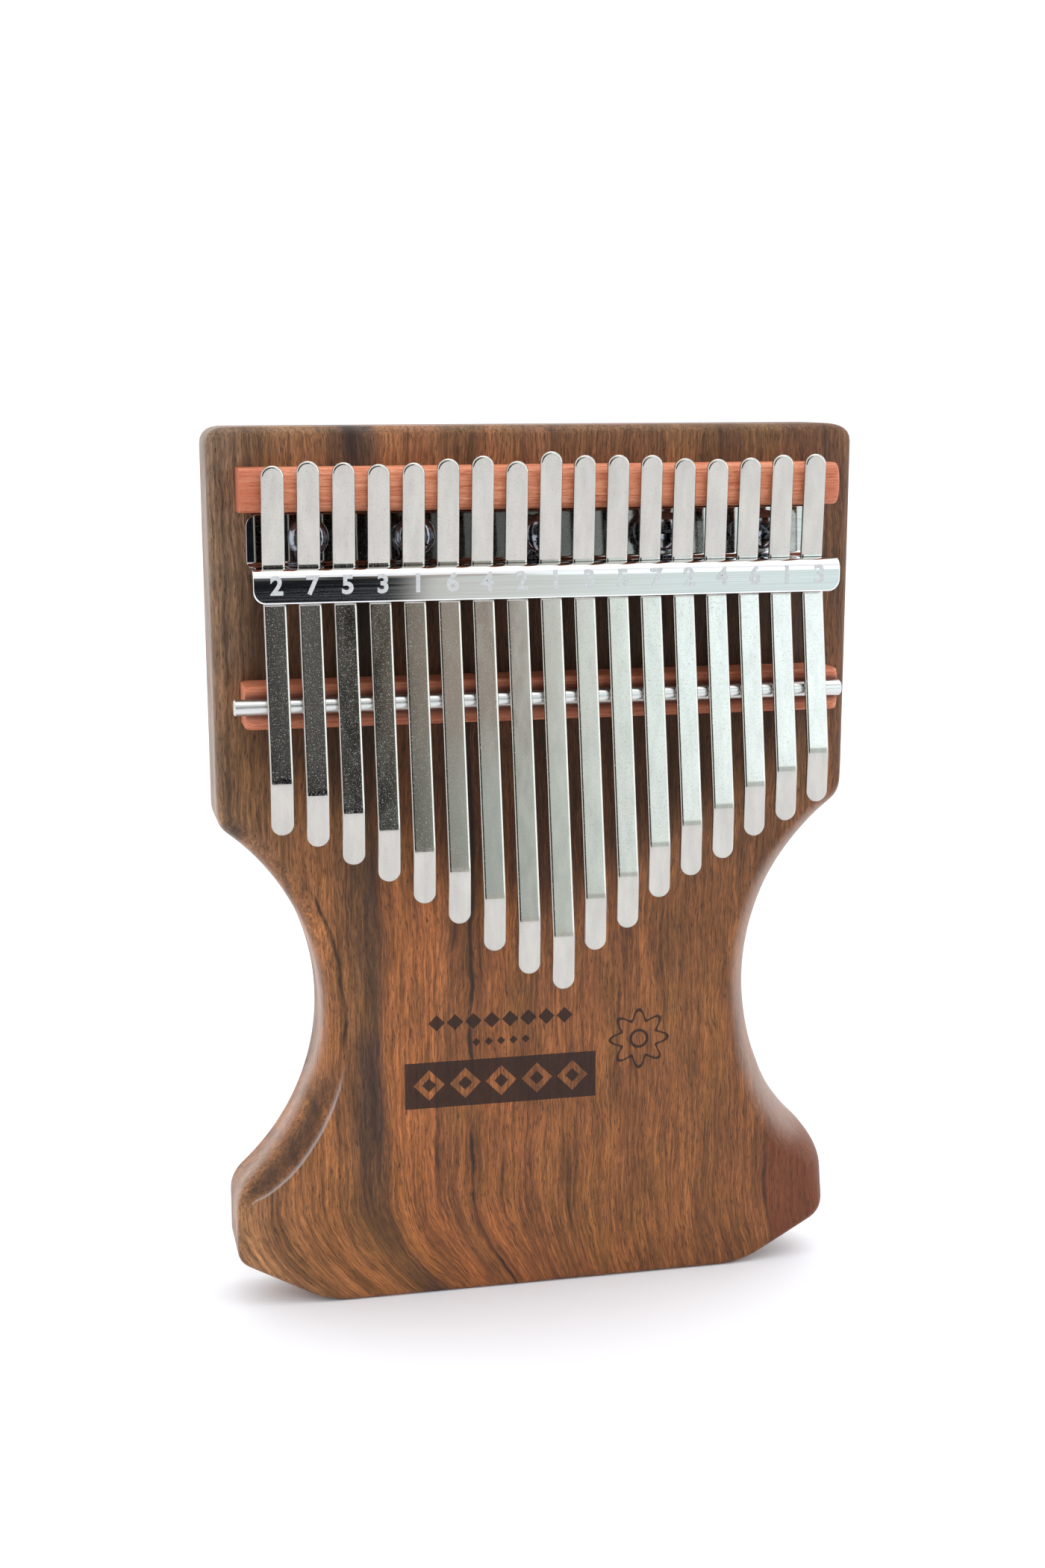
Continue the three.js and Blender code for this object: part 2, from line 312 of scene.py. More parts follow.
# How strong the painted sheen on the sawn sides is, and the shares of the front rounding where the
# sheen starts and over which it grows to full.
LEFT_SHEEN = [(180, 0.0), (168, 0.6), (100, 0.8), (22, 0.9), (10, 0.2)]
RIGHT_SHEEN = [(108, 0.0), (96, 1.0), (34, 1.0), (26, 0.3), (14, 0.0)]
LEFT_SHEEN_FROM, RIGHT_SHEEN_FROM, SHEEN_REACH = 0.5, 0.0, 0.45

# Where the painted shade, a dark line, lies in the left front rounding, and how wide it is,
# as shares of the rounding.
SHADE_AT, SHADE_REACH = 0.28, 0.42

# How strong the right ridge's painted highlight is, against the left one.
RIGHT_HIGHLIGHT = 0.2

BACK_EDGE = 2.0
SHOULDER_REACH, FOOT_REACH = 3, 5
WAIST_STEPS, OUTLINE_STEP = 60, 1.1


def rounded_corner(before, corner, after, arrive, leave, steps=10):
    """Points round a corner, from `arrive` before it to `leave` after it."""
    corner = Vector(corner)
    start = corner + (Vector(before) - corner).normalized() * arrive
    end = corner + (Vector(after) - corner).normalized() * leave
    points = []
    for k in range(steps + 1):
        share = k / steps
        points.append(start.lerp(corner, share).lerp(corner.lerp(end, share), share))
    return points


def half_outline(waist_z, corners):
    """The outline on the +X side, from the top centre to the middle of the foot."""
    o = OUTLINE
    top_z = BOARD_HIGH.z
    centre = Vector((o["waist_centre_x"], waist_z))
    radius = o["waist_radius"]

    def on_waist(turn):
        return centre + Vector((math.cos(turn), math.sin(turn))) * radius

    shoulder_turn = math.pi - math.acos((centre.x - o["shoulder_half_width"]) / radius)
    hip_turn = math.pi + math.acos((centre.x - o["hip_half_width"]) / radius)
    top = (o["half_width"], top_z)
    shoulder, hip = on_waist(shoulder_turn), on_waist(hip_turn)
    chamfer = (o["hip_half_width"], o["hip_corner_z"])
    foot = (o["foot_half_width"], 0.0)
    first, last = shoulder_turn + SHOULDER_REACH / radius, hip_turn - corners["hip"][0] / radius
    waist = [on_waist(first + (last - first) * k / WAIST_STEPS) for k in range(WAIST_STEPS + 1)]
    return [
        Vector((0, top_z)),
        *rounded_corner((0, top_z), top, shoulder, *corners["top"]),
        *rounded_corner(top, shoulder, waist[0], SHOULDER_REACH, SHOULDER_REACH)[:-1],
        *waist,
        *rounded_corner(waist[-1], hip, chamfer, *corners["hip"])[1:],
        *rounded_corner(hip, chamfer, foot, *corners["chamfer"]),
        *rounded_corner(chamfer, foot, (0, 0), FOOT_REACH, FOOT_REACH),
        Vector((0, 0)),
    ]


def spaced(points, step):
    """The same closed line with even steps."""
    closed = [*points, points[0]]
    lengths = [(two - one).length for one, two in zip(closed, closed[1:])]
    total = sum(lengths)
    count = round(total / step)
    result, k, passed = [], 0, 0.0
    for number in range(count):
        target = total * number / count
        while passed + lengths[k] < target:
            passed += lengths[k]
            k += 1
        result.append(closed[k].lerp(closed[k + 1], (target - passed) / lengths[k]))
    return result


def rolled(width, ridge, steps):
    """Like quarter(), but a ridge makes the curve start at an angle to the face."""
    start = ridge * RIDGE_ANGLE
    radius = width / (1 - math.sin(start))
    turns = [start + (0.5 * math.pi - start) * step / steps for step in range(steps + 1)]
    return [(radius * (1 - math.sin(t)), radius * (math.cos(start) - math.cos(t))) for t in turns]


def smoothed(values, reach):
    """Each value's average with its neighbours round a closed line."""
    count, near = len(values), range(-reach, reach + 1)
    return [sum(values[(k + step) % count] for step in near) / len(near) for k in range(count)]


def make_board():
    right = half_outline(WAIST_Z["right"], RIGHT_CORNERS)
    left = [Vector((-p.x, p.y)) for p in reversed(half_outline(WAIST_Z["left"], LEFT_CORNERS)[1:-1])]
    outline = spaced([*right, *left], OUTLINE_STEP)
    count = len(outline)
    outward = []
    for k in range(count):
        along = (outline[(k + 1) % count] - outline[k - 1]).normalized()
        outward.append(Vector((-along.y, along.x)))
    widths = smoothed([eased(LEFT_EDGE if p.x < 0 else RIGHT_EDGE, p.y) for p in outline], 3)
    ridges = smoothed([eased(LEFT_RIDGE if p.x < 0 else RIGHT_RIDGE, p.y) for p in outline], 2)
    edge_steps, support = 9, 0.35
    front = [rolled(width, ridge, edge_steps) for width, ridge in zip(widths, ridges)]
    front = [[(curve[0][0] + support, 0.0), *curve] for curve in front]
    back = [(BACK_EDGE + support, 0.0), *quarter(BACK_EDGE, edge_steps)]
    points = []
    for ring in range(edge_steps + 2):
        for p, out, curve in zip(outline, outward, front):
            inset, depth = curve[ring]
            points.append(((p - out * inset).x, FACE_Y + depth, (p - out * inset).y))
    for inset, depth in reversed(back):
        for p, out in zip(outline, outward):
            points.append(((p - out * inset).x, BOARD_HIGH.y - depth, (p - out * inset).y))
    loops = [list(range(start, start + count)) for start in range(0, len(points), count)]
    faces = bridge_loops(loops) + [tuple(loops[0]), tuple(loops[-1])]
    board = mesh_object("wood_board", points, faces, sharp_above=50.0)
    ridge_highlight = board.data.attributes.new("painted_ridge_highlight", "FLOAT", "POINT")
    edge_shade_and_sheen = board.data.attributes.new("edge_shade_and_sheen", "FLOAT", "POINT")
    # Per point: the painted highlight on the ridge, and the painted shade and painted sheen across the
    # rounding.
    for k, p in enumerate(outline):
        left_side = p.x < 0
        ridge_highlight.data[count + k].value = ridges[k] if left_side else RIGHT_HIGHLIGHT * ridges[k]
        painted_sheen = eased(LEFT_SHEEN if left_side else RIGHT_SHEEN, p.y)
        sheen_from = LEFT_SHEEN_FROM if left_side else RIGHT_SHEEN_FROM
        for step in range(edge_steps + 1):
            turned = step / edge_steps
            dark = ridges[k] * max(0.0, 1.0 - abs(turned - SHADE_AT) / SHADE_REACH) if left_side else 0.0
            light = painted_sheen * min(1.0, max(0.0, (turned - sheen_from) / SHEEN_REACH))
            edge_shade_and_sheen.data[(step + 1) * count + k].value = dark - light
    return board


# ---- nut, bridge and rod


def crowned_bar(name, node, shoulder_share, left_end, right_end):
    """A bar with upright sides and a rounded crest.

    The sides are upright up to a share of its height. Each end is (setback, drop) of its softened edge.
    """
    low, high = cad_range(node)
    middle, half = (low.z + high.z) / 2, (high.z - low.z) / 2
    crown = FACE_Y - low.y
    shoulder = crown * shoulder_share
    base, edge_steps, crest_steps, fullness, narrowing = 0.03, 5, 24, 0.85, 0.4
    turns = [math.pi * k / crest_steps for k in range(crest_steps + 1)]
    crest = [(half * math.cos(t), shoulder + (crown - shoulder) * math.sin(t) ** fullness) for t in turns]
    section = [(half, base), *crest, (-half, base)]
    stations = []
    for x, inward, (setback, drop) in ((low.x, 1, left_end), (high.x, -1, right_end)):
        arc = [0.5 * math.pi * k / edge_steps for k in range(edge_steps + 1)]
        end = [(x + inward * setback * (1 - math.sin(t)), drop * (1 - math.cos(t))) for t in arc]
        stations += reversed(end) if inward > 0 else end
    points, loops = [], []
    for x, drop in stations:
        loop = []
        for z, height in section:
            lower = drop if height > base else 0.0
            loop.append(len(points))
            narrowed = z * (1 - narrowing * drop / half)
            points.append((x, above_face(height - lower), middle + narrowed))
        loops.append(loop)
    faces = bridge_loops(loops) + [tuple(loops[0]), tuple(loops[-1])]
    return mesh_object(name, points, faces, sharp_above=38.0)


def rod_measures():
    """(centre, radius, length) of the rod."""
    low, high = cad_range("bridge_rod")
    return (low + high) / 2, (high.z - low.z) / 2, high.x - low.x


def rod_profile(radius, length, chamfer=0.3):
    half, rings = length / 2, 20
    stations = [(radius, half - chamfer - length * k / rings) for k in range(rings)]
    stations = [s for s in stations if s[1] > chamfer - half]
    return [
        (0.0, half),
        (radius - chamfer, half),
        *stations,
        (radius, chamfer - half),
        (radius - chamfer, -half),
        (0.0, -half),
    ]


def make_rod():
    centre, radius, length = rod_measures()
    return revolved("steel_rod", rod_profile(radius, length), (1, 0, 0), centre)


GROOVE_PLAY = 0.12


def make_bridge():
    bar = crowned_bar("wood_bridge", "bridge", 0.87, left_end=(1.6, 0.9), right_end=(1.6, 0.9))
    centre, radius, length = rod_measures()
    wide = radius + GROOVE_PLAY
    groove = [(0.0, -length), (wide, -length), (wide, length), (0.0, length)]
    return carve(bar, [revolved("groove", groove, (1, 0, 0), centre)], sharp_above=38.0)


# ---- bracket, screws and tines

STEEL = 1.4
BRACKET = {"wall_z": 155.0, "foot_bend": 0.7, "bend": 2.2, "corner": 2.4, "edge": 0.18, "gap": 0.05}
WINDOW = {"floor": 6.4, "top": 9.52, "side": 0.35, "behind": 2.5, "ahead": 1.0}
SCREW_HOLE = {"radius": 1.9, "reach": 3.0}


def bracket_path():
    """The outward face of the bracket: base plate, wall, bend, and a strip parallel to the board."""
    low, high = cad_range("bracket")
    plate = STEEL + BRACKET["gap"]
    strip = FACE_Y - low.y
    wall_z = BRACKET["wall_z"]
    corners = [(plate, high.z), (plate, wall_z), (strip, wall_z), (strip, low.z)]
    return SheetPath(corners, [BRACKET["foot_bend"], BRACKET["bend"]], step=1.5)


def tine_place(tine):
    """(centre, half width) of a tine, across the board."""
    low, high = cad_range(f"{tine}_tail")
    return (low.x + high.x) / 2, (high.x - low.x) / 2


def screw_centre(number):
    low, high = cad_range(f"bracket_screw_{number}")
    return (low + high) / 2


def make_bracket(path):
    low, high = cad_range("bracket")
    half = (high.x - low.x) / 2
    bracket = bent_sheet("pressure_bracket", path, 0.0, half, BRACKET["corner"], STEEL, BRACKET["edge"])
    cutters = []
    for tine in TINES:
        x, half_width = tine_place(tine)
        reach = half_width + WINDOW["side"]
        cutters.append(
            cuboid(
                f"window_{tine}",
                (x - reach, above_face(WINDOW["top"]), BRACKET["wall_z"] - WINDOW["behind"]),
                (x + reach, above_face(WINDOW["floor"]), BRACKET["wall_z"] + WINDOW["ahead"]),
            )
        )
    for number in range(1, 6):
        centre = screw_centre(number)
        radius, far = SCREW_HOLE["radius"], SCREW_HOLE["reach"]
        hole = [(0.0, -far), (radius, -far), (radius, far), (0.0, far)]
        cutters.append(revolved(f"hole_{number}", hole, (0, 1, 0), (centre.x, FACE_Y, centre.z), 32))
    return carve(bracket, cutters, sharp_above=30.0)


SCREW = {"head": 4.0, "rise": 2.4, "shank": 1.5, "length": 11.0, "taper": 3.0, "gap": 0.08}

# The cross recess, above and below the top of the head: (height, half its length, half its width).
RECESS = [(0.6, 2.5, 0.55), (-1.3, 1.2, 0.25)]


def make_screw(number):
    """A pan-head screw with a tapered cross recess."""
    s = SCREW
    centre = screw_centre(number)
    head = s["head"]
    rim, brim, steps = 0.15, 0.55, 12
    turns = [0.5 * math.pi * k / steps for k in range(steps + 1)]
    dome = [(head * math.cos(t), brim + (s["rise"] - brim) * math.sin(t)) for t in turns]
    shank = [(0.0, -s["length"]), (s["shank"], s["taper"] - s["length"]), (s["shank"], 0.0)]
    profile = [*shank, (head - rim, 0.0), (head, rim), *dome]
    seat = (centre.x, above_face(STEEL + s["gap"]), centre.z)
    screw = revolved(f"screw_{number}", profile, (0, -1, 0), seat)
    first_turn, next_turn = 17, 41
    turn = math.radians(first_turn + next_turn * number)
    cutters = []
    for quarter_turn in (0, 0.5 * math.pi):
        across = Matrix.Rotation(turn + quarter_turn, 3, "Y")
        points = []
        for height, length, width in RECESS:
            y = -s["rise"] - height
            for x, z in ((-length, -width), (length, -width), (length, width), (-length, width)):
                points.append(across @ Vector((x, y, z)) + Vector(seat))
        faces = [(0, 1, 2, 3), (7, 6, 5, 4), (0, 4, 5, 1), (1, 5, 6, 2), (2, 6, 7, 3), (3, 7, 4, 0)]
        cutters.append(mesh_object(f"recess_{number}_{quarter_turn:.1f}", points, faces))
    return carve(screw, cutters, sharp_above=30.0)


TINE = {
    "thickness": 1.1,
    "edge": 0.4,
    "bend_z": 154.3,
    "bend_height": 9.07,
    "bend_radius": 6.0,
    "nut_z": 169.65,
    "nut_height": 10.15,
    "rise": 0.167,
    "pad_length": 10.4,
    "pad_slope": -0.05,
    "crease_radius": 15.0,
}


def make_tine(tine):
    """One continuous strip: tail, bend in the window, tongue, crease and thumb pad."""
    t = TINE
    _, tail_top = cad_range(f"{tine}_tail")
    tongue_low, _ = cad_range(f"{tine}_tongue")
    crease_z = tongue_low.z + t["pad_length"]
    fall = (t["nut_height"] - t["bend_height"]) / (t["nut_z"] - t["bend_z"])
    crease_height = t["bend_height"] + t["rise"] * (t["bend_z"] - crease_z)
    corners = [
        (t["bend_height"] + fall * (tail_top.z - t["bend_z"]), tail_top.z),
        (t["bend_height"], t["bend_z"]),
        (crease_height, crease_z),
        (crease_height + t["pad_slope"] * t["pad_length"], tongue_low.z),
    ]
    path = SheetPath(corners, [t["bend_radius"], t["crease_radius"]], step=2.0)
    x, half = tine_place(tine)
    return bent_sheet(f"{tine}_strip", path, x, half, half - 0.01, t["thickness"], t["edge"])


NOTE_NUMBERS = "27531642135724613"
NOTE_MARK = {"size": 4.9, "above_edge": 3.35, "swell": 0.17, "thickness": 0.02}


def make_note_numbers():
    """A thin printed number on the strip below each tine's window: its place in the scale."""
    low, _ = cad_range("bracket")
    thickness = NOTE_MARK["thickness"]
    middle_z = low.z + NOTE_MARK["above_edge"]
    joined = bmesh.new()
    for tine, digit in zip(TINES, NOTE_NUMBERS):
        text = bpy.data.curves.new(f"digit_{tine}", "FONT")
        text.body = digit
        text.size = NOTE_MARK["size"] * MM
        text.align_x, text.align_y = "CENTER", "CENTER"
        text.extrude = thickness * MM
        text.offset = NOTE_MARK["swell"] * MM
        text.resolution_u = 4
        letter = placed(f"digit_{tine}", text)
        bpy.context.view_layer.update()
        finished = letter.evaluated_get(bpy.context.evaluated_depsgraph_get())
        shape = bpy.data.meshes.new_from_object(finished)
        x, _ = tine_place(tine)
        seat = Vector((x, low.y - thickness, middle_z)) * MM
        shape.transform(Matrix.Translation(seat) @ Matrix.Rotation(0.5 * math.pi, 4, "X"))
        joined.from_mesh(shape)
        bpy.data.objects.remove(letter)
        bpy.data.curves.remove(text)
        bpy.data.meshes.remove(shape)
    mesh = bpy.data.meshes.new("note_numbers")
    bmesh.ops.remove_doubles(joined, verts=joined.verts, dist=1e-7)
    joined.to_mesh(mesh)
    joined.free()
    return placed("note_numbers", mesh)


# ---- node helpers


class Graph:
    """Short calls for building a node tree."""

    def __init__(self, tree):
        self.tree = tree
        tree.nodes.clear()

    def node(self, kind, inputs=None, **settings):
        made = self.tree.nodes.new(kind)
        for key, value in settings.items():
            setattr(made, key, value)
        for key, value in (inputs or {}).items():
            self.plug(made.inputs[key], value)
        return made

    def plug(self, socket, value):
        if isinstance(value, bpy.types.NodeSocket):
            self.tree.links.new(value, socket)
        elif isinstance(value, bpy.types.Node):
            self.tree.links.new(value.outputs[0], socket)
        else:
            socket.default_value = value

    def math(self, operation, *values, clamp=False):
        made = self.node("ShaderNodeMath", operation=operation, use_clamp=clamp)
        for socket, value in zip(made.inputs, values):
            self.plug(socket, value)
        return made.outputs[0]

    def smooth(self, value, low, high, to_low=0.0, to_high=1.0):
        made = self.node("ShaderNodeMapRange", interpolation_type="SMOOTHSTEP")
        for socket, number in zip(made.inputs, (value, low, high, to_low, to_high)):
            self.plug(socket, number)
        return made.outputs[0]

    def fall(self, value, low, high):
        """1 below the low value and 0 above the high one."""
        return self.smooth(value, low, high, 1.0, 0.0)

    def plus(self, one, two):
        return self.math("ADD", one, two)

    def minus(self, one, two):
        return self.math("SUBTRACT", one, two)

    def times(self, first, *others):
        for other in others:
            first = self.math("MULTIPLY", first, other)
        return first

    def gap(self, one, two):
        """How far apart two values are."""
        return self.math("ABSOLUTE", self.minus(one, two))

    def distance(self, across, up):
        """How far a place is from the origin of two coordinates."""
        return self.math("SQRT", self.plus(self.times(across, across), self.times(up, up)))

    def roughen(self, shader, height, distance, strength):
        """Makes a pattern stand up from a surface, by a distance in millimetres."""
        settings = {"Height": height, "Distance": distance * MM, "Strength": strength}
        self.plug(shader.inputs["Normal"], self.node("ShaderNodeBump", settings))

    def paint(self, shader, colour, roughness):
        """Gives a shader its colour and its roughness."""
        self.plug(shader.inputs["Base Color"], colour)
        self.plug(shader.inputs["Roughness"], roughness)

    def split(self, place):
        return self.node("ShaderNodeSeparateXYZ", {0: place}).outputs

    def mix(self, share, one, two, blend="MIX"):
        made = self.node("ShaderNodeMix", data_type="RGBA", blend_type=blend)
        self.plug(made.inputs["Factor"], share)
        self.plug(made.inputs["A"], one)
        self.plug(made.inputs["B"], two)
        return made.outputs["Result"]

    def ramp(self, value, stops):
        made = self.node("ShaderNodeValToRGB", {"Fac": value})
        elements = made.color_ramp.elements
        while len(elements) < len(stops):
            elements.new(0.5)
        for element, (position, colour) in zip(elements, stops):
            element.position = position
            element.color = colour if len(colour) == 4 else (*colour, 1.0)
        return made.outputs["Color"]

    def noise(self, place, scales, detail=4.0, roughness=0.55):
        """Noise of about one unit size, stretched by a scale on each axis."""
        scaled = self.node("ShaderNodeVectorMath", {0: place, 1: scales}, operation="MULTIPLY")
        made = self.node(
            "ShaderNodeTexNoise",
            {"Vector": scaled, "Scale": 1.0, "Detail": detail, "Roughness": roughness},
        )
        return made.outputs["Fac"]


def rgb(red, green, blue):
    """A colour from the usual 0-255 screen values."""

    def linear(value):
        value /= 255
        return value / 12.92 if value <= 0.04045 else ((value + 0.055) / 1.055) ** 2.4

    return (linear(red), linear(green), linear(blue), 1.0)


def new_material(name, **constants):
    """A material whose Principled shader has these constants, with its graph and shader."""
    material = bpy.data.materials.new(name)
    material.use_nodes = True
    graph = Graph(material.node_tree)
    shader = graph.node("ShaderNodeBsdfPrincipled")
    for key, value in constants.items():
        shader.inputs[key.replace("_", " ").title().replace("Ior", "IOR")].default_value = value
    output = graph.node("ShaderNodeOutputMaterial")
    graph.plug(output.inputs["Surface"], shader.outputs["BSDF"])
    return material, graph, shader


def in_millimetres(graph):
    """The place on the part, in millimetres."""
    where = graph.node("ShaderNodeTexCoord")
    scaled = graph.node(
        "ShaderNodeVectorMath",
        {0: where.outputs["Object"], 1: (1 / MM, 1 / MM, 1 / MM)},
        operation="MULTIPLY",
    )
    return scaled.outputs[0]


# ---- wood

# Across the board: where the grain changes, and the red, green and blue there.
GRAIN_BANDS = [
    (-66, 146, 106, 72),
    (-54, 148, 98, 60),
    (-46, 158, 101, 57),
    (-41, 132, 86, 50),
    (-38, 80, 54, 38),
    (-34.5, 84, 56, 40),
    (-32, 150, 92, 50),
    (-23.5, 162, 98, 54),
    (-20, 132, 82, 47),
    (-11, 150, 91, 50),
    (0, 132, 81, 46),
    (12, 134, 82, 45),
    (30, 130, 81, 44),
    (46, 122, 75, 41),
    (66, 118, 71, 39),
]

# Down the board: how the wood's colour changes with height, partly its own tone and partly painted
# sheen that makes the upper board greyer and bluer.
HEIGHT_TINTS = [
    (0, (0.90, 0.82, 0.76)),
    (10, (1.03, 0.97, 0.90)),
    (80, (1.0, 0.97, 0.93)),
    (120, (0.88, 0.98, 1.16)),
    (150, (0.86, 1.02, 1.3)),
    (182, (0.86, 1.06, 1.46)),
]

# Dark mineral lines: across the board, width, strength, and the heights between which they show.
DARK_LINES = [
    (-63.6, 0.5, 0.5, 98, 176),
    (-60.6, 0.35, 0.55, 112, 190),
    (-58.0, 0.6, 0.4, 128, 200),
    (-57.0, 1.2, 0.45, 0, 34),
    (-51.5, 0.9, 0.4, 2, 44),
    (-46.8, 0.5, 0.5, 12, 70),
    (-43.0, 1.0, 0.4, 2, 60),
    (-36.2, 1.5, 0.4, 6, 92),
    (-33.6, 0.8, 0.45, -4, 36),
    (-29.5, 0.3, 0.3, 60, 84),
    (-22.4, 0.4, 0.7, 16, 76),
    (-18.6, 0.9, 0.6, 58, 92),
    (-15.0, 0.45, 0.95, -10, 140),
    (-13.2, 0.3, 0.6, 62, 92),
    (-8.4, 0.3, 0.35, 10, 40),
    (6.2, 0.7, 0.7, -5, 34),
    (12.5, 1.0, 0.35, -5, 40),
    (24.0, 0.35, 0.3, 18, 84),
    (-44.0, 0.4, 0.5, 158, 200),
    (-38.5, 1.3, 0.6, 160, 200),
    (-27.0, 0.3, 0.5, 156, 200),
    (-14.0, 0.8, 0.6, 158, 200),
    (-3.0, 0.4, 0.4, 160, 200),
    (19.0, 0.4, 0.4, 158, 200),
    (38.0, 0.5, 0.45, 156, 200),
    (50.3, 0.5, 0.75, -5, 34),
    (61.0, 0.4, 0.5, 104, 200),
]

# The tines' tips rise from the middle to the sides. Painted shade darkens the wood above them by a share.
TIPS = {"lowest_z": 73.0, "rise": 0.62, "shade": 0.6}
WAIST_LINE_INSET = 4.1
KNOT = {"x": -62.6, "z": 101.5, "heart": 1.6, "reach": 5.4, "strength": 0.75, "raggedness": 3.0}


def walnut():
    material, graph, shader = new_material("walnut_oiled", specular_ior_level=0.3)
    place = in_millimetres(graph)
    x, y, z = graph.split(place)

    # The grain leans to the right towards the foot, most of all on the left, and wavers on its way up.
    low_down = graph.math("DIVIDE", graph.minus(22.0, z), 22.0, clamp=True)
    reach = graph.smooth(x, -20.0, 22.0, 14.0, 3.0)
    lean = graph.times(graph.math("POWER", low_down, 1.8), reach)
    waver = graph.noise(place, (0.02, 0.03, 0.014), detail=2.0)
    kinks = graph.noise(place, (0.16, 0.16, 0.07), detail=3.0)
    shift = graph.times(graph.minus(waver, 0.5), 4.0)
    shift = graph.plus(shift, graph.times(graph.minus(kinks, 0.5), 2.6))
    across = graph.plus(graph.minus(x, lean), shift)
    deep = graph.plus(across, graph.times(graph.minus(y, FACE_Y), 0.35))
    grain = graph.node("ShaderNodeCombineXYZ", {0: deep, 1: y, 2: z}).outputs[0]

    first, last = GRAIN_BANDS[0][0], GRAIN_BANDS[-1][0]
    position = graph.math("DIVIDE", graph.minus(deep, first), last - first)
    colour = graph.ramp(position, [((at - first) / (last - first), rgb(*tint)) for at, *tint in GRAIN_BANDS])
    hue = graph.noise(grain, (0.12, 0.12, 0.03), detail=2.0)
    colour = graph.mix(graph.smooth(hue, 0.44, 0.68, 0.0, 0.5), colour, rgb(126, 84, 40))

    broad = graph.noise(grain, (0.22, 0.22, 0.010), detail=3.0)
    blotch = graph.noise(place, (0.14, 0.14, 0.06), detail=4.0)
    fibre = graph.noise(grain, (1.4, 1.4, 0.05), detail=5.0, roughness=0.65)
    dash = graph.noise(grain, (4.2, 4.2, 0.32), detail=3.0, roughness=0.65)
    brightness = 1.0
    for pattern, dark, light in (
        (broad, 0.76, 1.16),
        (blotch, 0.84, 1.16),
        (fibre, 0.58, 1.36),
        (dash, 0.66, 1.32),
    ):
        brightness = graph.times(graph.smooth(pattern, 0.3, 0.7, dark, light), brightness)
    # Painted shade behind the tines, above the line of their tips and below the nut: the wood is darker
    # there.
    sideways = graph.math("ABSOLUTE", x)
    tips = graph.plus(graph.times(sideways, TIPS["rise"]), TIPS["lowest_z"])
    painted_tine_shade = graph.times(
        graph.smooth(graph.minus(z, tips), 0.0, 16.0),
        graph.fall(z, 152.0, 158.0),
        graph.fall(y, FACE_Y + 0.5, FACE_Y + 2.0),
        graph.fall(sideways, 55.0, 62.0),
        TIPS["shade"],
    )
    brightness = graph.times(brightness, graph.minus(1.0, painted_tine_shade))
    bright = graph.node("ShaderNodeCombineXYZ", {0: brightness, 1: brightness, 2: brightness})
    colour = graph.mix(1.0, colour, bright.outputs[0], "MULTIPLY")
    highest = HEIGHT_TINTS[-1][0]
    height = graph.math("DIVIDE", z, highest)
    tint = graph.ramp(height, [(at / highest, tint) for at, tint in HEIGHT_TINTS])
    colour = graph.mix(1.0, colour, tint, "MULTIPLY")

    dark_wood = rgb(38, 23, 16)
    patchy = graph.smooth(graph.noise(grain, (0.5, 0.5, 0.09), detail=4.0), 0.38, 0.58, 0.25, 1.0)
    for centre, width, strength, foot, head in DARK_LINES:
        away = graph.gap(deep, centre)
        line = graph.smooth(away, width * 0.2, width * 1.6, strength, 0.0)
        rising = graph.smooth(z, foot, foot + 8.0)
        falling = graph.fall(z, head - 14.0, head)
        colour = graph.mix(graph.times(line, rising, falling, patchy), colour, dark_wood)
    colour = graph.mix(waist_line(graph, x, z, kinks, patchy), colour, dark_wood)
    red_hip = graph.times(graph.smooth(deep, 49.8, 51.4), graph.smooth(z, 24.0, 44.0, 0.62, 0.0))
    colour = graph.mix(red_hip, colour, rgb(102, 46, 25))
    sideways = graph.minus(x, KNOT["x"])
    upward = graph.minus(z, KNOT["z"])
    ragged = graph.times(kinks, KNOT["raggedness"])
    from_knot = graph.plus(graph.distance(sideways, upward), ragged)
    knot = graph.smooth(from_knot, KNOT["heart"], KNOT["reach"], KNOT["strength"], 0.0)
    colour = graph.mix(knot, colour, dark_wood)

    # Open pores: short dark dashes along the grain, and dots where the grain meets the ends.
    pores = graph.noise(grain, (5.5, 5.5, 0.5), detail=2.0)
    pore = graph.smooth(pores, 0.57, 0.67)
    colour = graph.mix(graph.times(pore, 0.72), colour, rgb(38, 23, 17))

    # A painted highlight: a pale line along the ridge of the waist.
    ridge = graph.node("ShaderNodeAttribute", attribute_name="painted_ridge_highlight").outputs["Fac"]
    highlight = graph.math("POWER", ridge, 2.2)
    colour = graph.mix(graph.times(highlight, 0.62), colour, rgb(206, 200, 198))
    # Beside it a painted shade darkens the wood, and a painted sheen makes the sawn sides paler.
    edge = graph.node("ShaderNodeAttribute", attribute_name="edge_shade_and_sheen").outputs["Fac"]
    colour = graph.mix(graph.smooth(edge, 0.0, 1.0, 0.0, 0.7), colour, dark_wood)
    colour = graph.mix(graph.smooth(edge, -1.0, 0.0, 0.32, 0.0), colour, rgb(206, 192, 184))

    burnt = burnt_ornament(graph, x, y, z)
    colour = graph.mix(graph.times(burnt, 0.92), colour, rgb(38, 19, 13))

    sheen = graph.noise(grain, (0.8, 0.8, 0.08), detail=3.0)
    gloss = graph.plus(graph.smooth(sheen, 0.3, 0.7, 0.36, 0.50), graph.times(burnt, 0.15))
    graph.paint(shader, colour, gloss)
    relief = graph.minus(graph.times(dash, 0.5), graph.plus(pore, burnt))
    graph.roughen(shader, relief, 0.035, 0.6)
    return material


